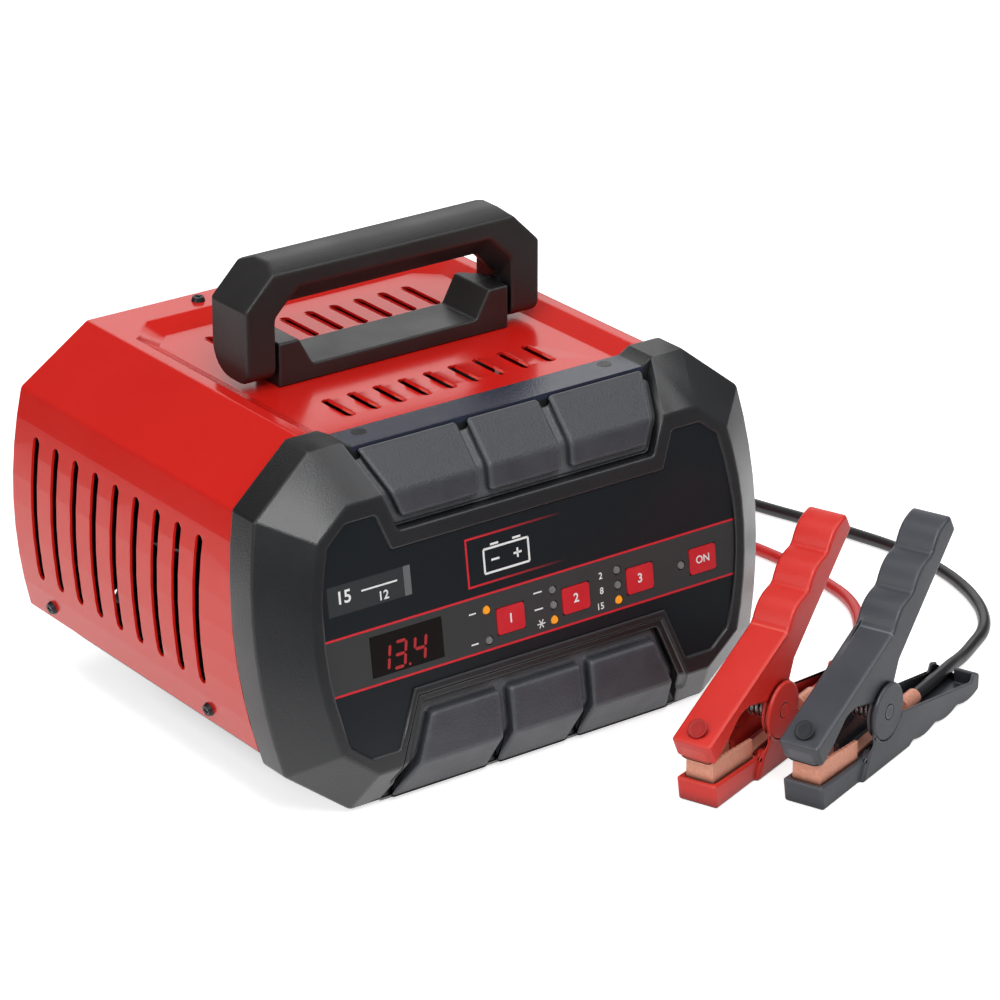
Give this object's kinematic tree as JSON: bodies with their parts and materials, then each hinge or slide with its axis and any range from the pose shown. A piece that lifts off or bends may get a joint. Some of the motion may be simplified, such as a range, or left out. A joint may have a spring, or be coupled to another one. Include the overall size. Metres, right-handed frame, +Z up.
{
  "type": "car battery charger",
  "caption": "Car battery charger with a folded louvered cover, moulded front with bumpers and keypad, folding carry handle and two insulated clamps on leads.",
  "frame": {"origin": "on the floor under the centre of the charger's box, leads and clamps left out", "axes": "X to the right along the front, Y from the front to the back, Z up"},
  "size_m": [0.3829, 0.4275, 0.197],
  "materials": {
    "cover_paint": "gloss",
    "dark_sheet": "satin",
    "case_plastic": "grained",
    "bumper_rubber": "satin",
    "foot_rubber": "matt",
    "label_print": "satin",
    "window": "gloss",
    "display_body": "satin",
    "board": "satin",
    "dark_plastic": "satin",
    "key_red": "satin",
    "lamp_amber": "gloss",
    "lamp_grey": "satin",
    "standoff": "satin",
    "sink_aluminium": "satin",
    "core_steel": "matt",
    "winding_copper": "gloss",
    "capacitor_sleeve": "gloss",
    "bright_steel": "satin",
    "black_steel": "satin",
    "handle_plastic": "satin",
    "lead_black": "semi-gloss",
    "lead_red": "semi-gloss",
    "clamp_black_plastic": "satin",
    "clamp_red_plastic": "satin",
    "jaw_copper": "satin"
  },
  "bodies": {
    "charger": {"cover": "cover_paint", "base_tray": "dark_sheet", "rear_panel": "dark_sheet", "front_bezel": "case_plastic", "upper_bumper": "bumper_rubber", "lower_bumper": "bumper_rubber", "label_panel": "label_print", "display_window": "window", "display_module": "display_body", "control_board": "board", "key_switches": "dark_plastic", "lit_lamps": "lamp_amber", "unlit_lamps": "lamp_grey", "power_board": "board", "board_standoffs": "standoff", "heat_sink": "sink_aluminium", "power_transistors": "dark_plastic", "transformer_core": "core_steel", "transformer_winding": "winding_copper", "capacitors": "capacitor_sleeve", "fan_frame": "dark_plastic", "fan_guard": "bright_steel", "fan_screws": "black_steel", "handle_base": "handle_plastic", "handle_pins": "bright_steel", "handle_screws": "black_steel", "feet": "foot_rubber", "cover_screws": "black_steel", "bezel_screws": "black_steel", "mains_gland": "dark_plastic", "lead_glands": "dark_plastic", "black_lead_start": "lead_black", "black_lead_coil": "lead_black", "black_lead": "lead_black", "red_lead_start": "lead_red", "red_lead_coil": "lead_red", "red_lead": "lead_red", "coil_ties": "dark_plastic", "black_lower_arm": "clamp_black_plastic", "black_lower_jaw": "jaw_copper", "black_pin": "clamp_black_plastic", "black_spring": "bright_steel", "red_lower_arm": "clamp_red_plastic", "red_lower_jaw": "jaw_copper", "red_pin": "clamp_red_plastic", "red_spring": "bright_steel"},
    "handle": {"handle": "handle_plastic"},
    "display_key": {"display_key": "key_red"},
    "battery_key": {"battery_key": "key_red"},
    "ampere_key": {"ampere_key": "key_red"},
    "start_key": {"start_key": "key_red"},
    "fan_impeller": {"fan_impeller": "dark_plastic"},
    "black_clamp_upper": {"black_upper_arm": "clamp_black_plastic", "black_upper_jaw": "jaw_copper"},
    "red_clamp_upper": {"red_upper_arm": "clamp_red_plastic", "red_upper_jaw": "jaw_copper"}
  },
  "joints": [
    {"name": "handle_fold", "type": "hinge", "parent": "charger", "child": "handle", "pos_m": [0, 0.01472, 0.1606], "axis": [-1, 0, 0], "range_deg": [0, 90]},
    {"name": "display_press", "type": "slide", "parent": "charger", "child": "display_key", "axis": [0, 0.9903, -0.1392], "range_m": [0, 0.0008], "stiffness_N_per_m": 600, "springref_m": -0.0004},
    {"name": "battery_press", "type": "slide", "parent": "charger", "child": "battery_key", "axis": [0, 0.9903, -0.1392], "range_m": [0, 0.0008], "stiffness_N_per_m": 600, "springref_m": -0.0004},
    {"name": "ampere_press", "type": "slide", "parent": "charger", "child": "ampere_key", "axis": [0, 0.9903, -0.1392], "range_m": [0, 0.0008], "stiffness_N_per_m": 600, "springref_m": -0.0004},
    {"name": "start_press", "type": "slide", "parent": "charger", "child": "start_key", "axis": [0, 0.9903, -0.1392], "range_m": [0, 0.0008], "stiffness_N_per_m": 600, "springref_m": -0.0004},
    {"name": "fan_spin", "type": "hinge", "parent": "charger", "child": "fan_impeller", "pos_m": [-0.045, 0.09, 0.078], "axis": [0, 1, 0], "continuous": true},
    {"name": "black_clamp_open", "type": "hinge", "parent": "charger", "child": "black_clamp_upper", "pos_m": [0.10619, -0.17517, 0.0248], "axis": [-0.3518, 0.9361, 0], "range_deg": [0, 35], "stiffness_Nm_per_rad": 1.5, "springref_deg": -22.92, "deforming": ["black_spring"]},
    {"name": "red_clamp_open", "type": "hinge", "parent": "charger", "child": "red_clamp_upper", "pos_m": [0.07299, -0.14877, 0.0248], "axis": [-0.3518, 0.9361, 0], "range_deg": [0, 35], "stiffness_Nm_per_rad": 1.5, "springref_deg": -22.92, "deforming": ["red_spring"]}
  ]
}
